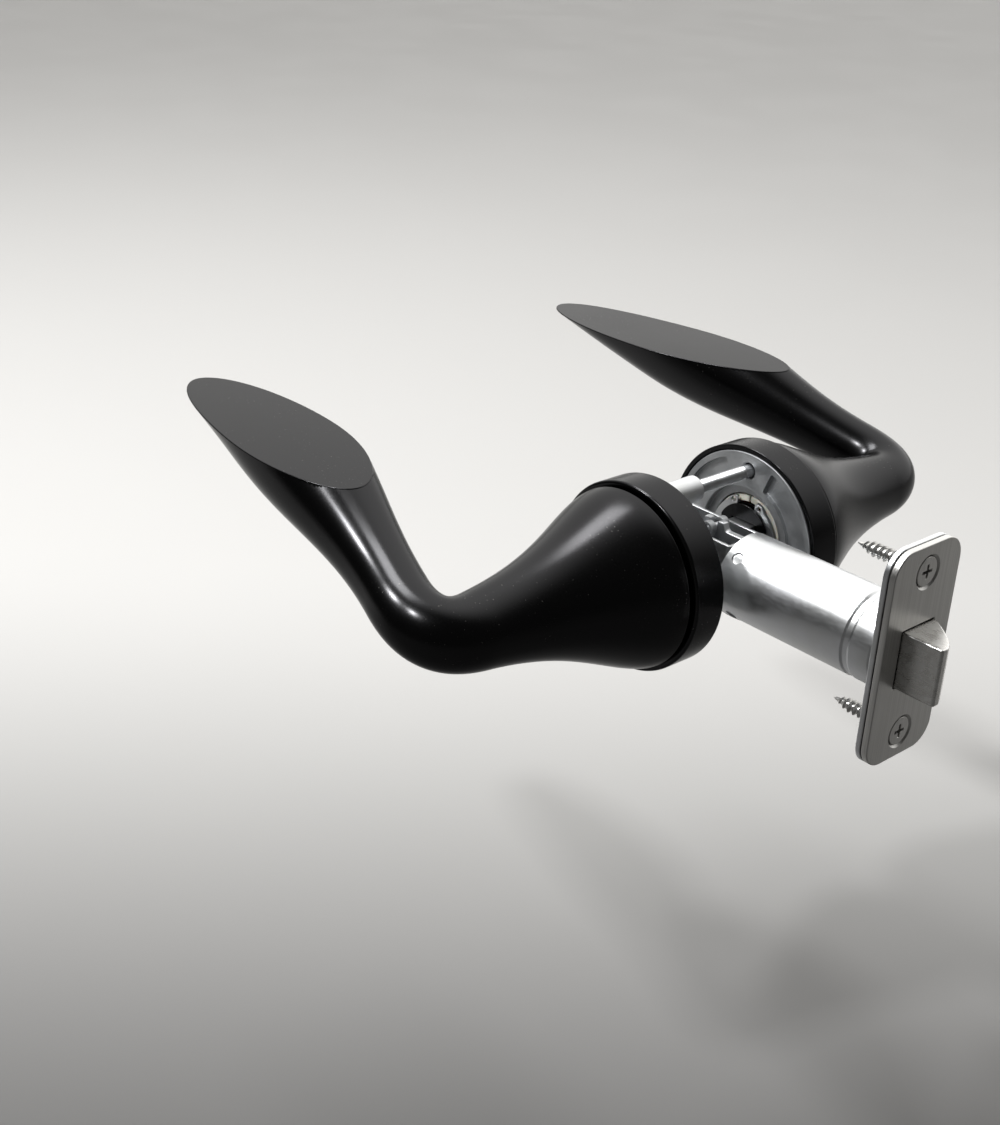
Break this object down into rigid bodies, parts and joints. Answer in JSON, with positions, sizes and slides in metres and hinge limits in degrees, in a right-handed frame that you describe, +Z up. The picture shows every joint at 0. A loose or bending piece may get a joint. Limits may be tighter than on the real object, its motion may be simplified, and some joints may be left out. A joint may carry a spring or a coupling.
{
  "type": "lever handle lockset",
  "caption": "Passage door lockset with curved levers on round roses, square spindle, sprung base plates and a tubular latch with bevelled bolt.",
  "frame": {"origin": "on the spindle axis at the outside face of the door", "axes": "+X towards the edge of the door that carries the latch, -Y out from the outside face, +Z up"},
  "size_m": [0.218, 0.1932, 0.057],
  "materials": {
    "black_coat": "satin black powder coat on a zinc casting",
    "zinc": "bare zinc die casting, dull",
    "steel": "bright zinc plate",
    "spring_steel": "oiled spring wire",
    "satin_face": "satin stainless, brushed along its height",
    "bolt_metal": "satin nickel plate",
    "nylon": "natural nylon, moulded"
  },
  "bodies": {
    "door_fixings": {"outside_rose": "black_coat", "outside_base_plate": "zinc", "outside_bush": "nylon", "outside_return_spring": "spring_steel", "inside_rose": "black_coat", "inside_base_plate": "zinc", "inside_bush": "nylon", "inside_return_spring": "spring_steel", "outside_upper_post": "steel", "outside_lower_post": "steel", "upper_bolt": "steel", "lower_bolt": "steel", "latch_faceplate": "satin_face", "latch_backplate": "steel", "latch_upper_screw": "steel", "latch_lower_screw": "steel", "latch_case": "steel", "latch_frame": "steel", "latch_spring_stop": "steel", "latch_spring": "spring_steel"},
    "levers_and_spindle": {"outside_lever": "black_coat", "outside_driver": "steel", "outside_circlip": "spring_steel", "outside_grub_screw": "steel", "inside_lever": "black_coat", "inside_driver": "steel", "inside_circlip": "spring_steel", "inside_grub_screw": "steel", "spindle": "steel", "latch_follower": "zinc", "latch_follower_pin": "steel"},
    "bolt_and_tail": {"latch_bolt": "bolt_metal", "latch_tail": "steel"}
  },
  "joints": [
    {"name": "lever_turn", "type": "hinge", "parent": "door_fixings", "child": "levers_and_spindle", "pos_m": [0, 0, 0], "axis": [0, -1, 0], "range_deg": [0, 60], "stiffness_Nm_per_rad": 0.86, "springref_deg": -60.16, "deforming": ["outside_return_spring", "inside_return_spring"]},
    {"name": "latch_slide", "type": "slide", "parent": "door_fixings", "child": "bolt_and_tail", "axis": [-1, 0, 0], "range_m": [0, 0.011], "stiffness_N_per_m": 450, "springref_m": -0.011, "deforming": ["latch_spring"]}
  ],
  "couplings": [
    {"joint": "latch_slide", "follows": "lever_turn", "m_per_rad": 0.0105}
  ]
}
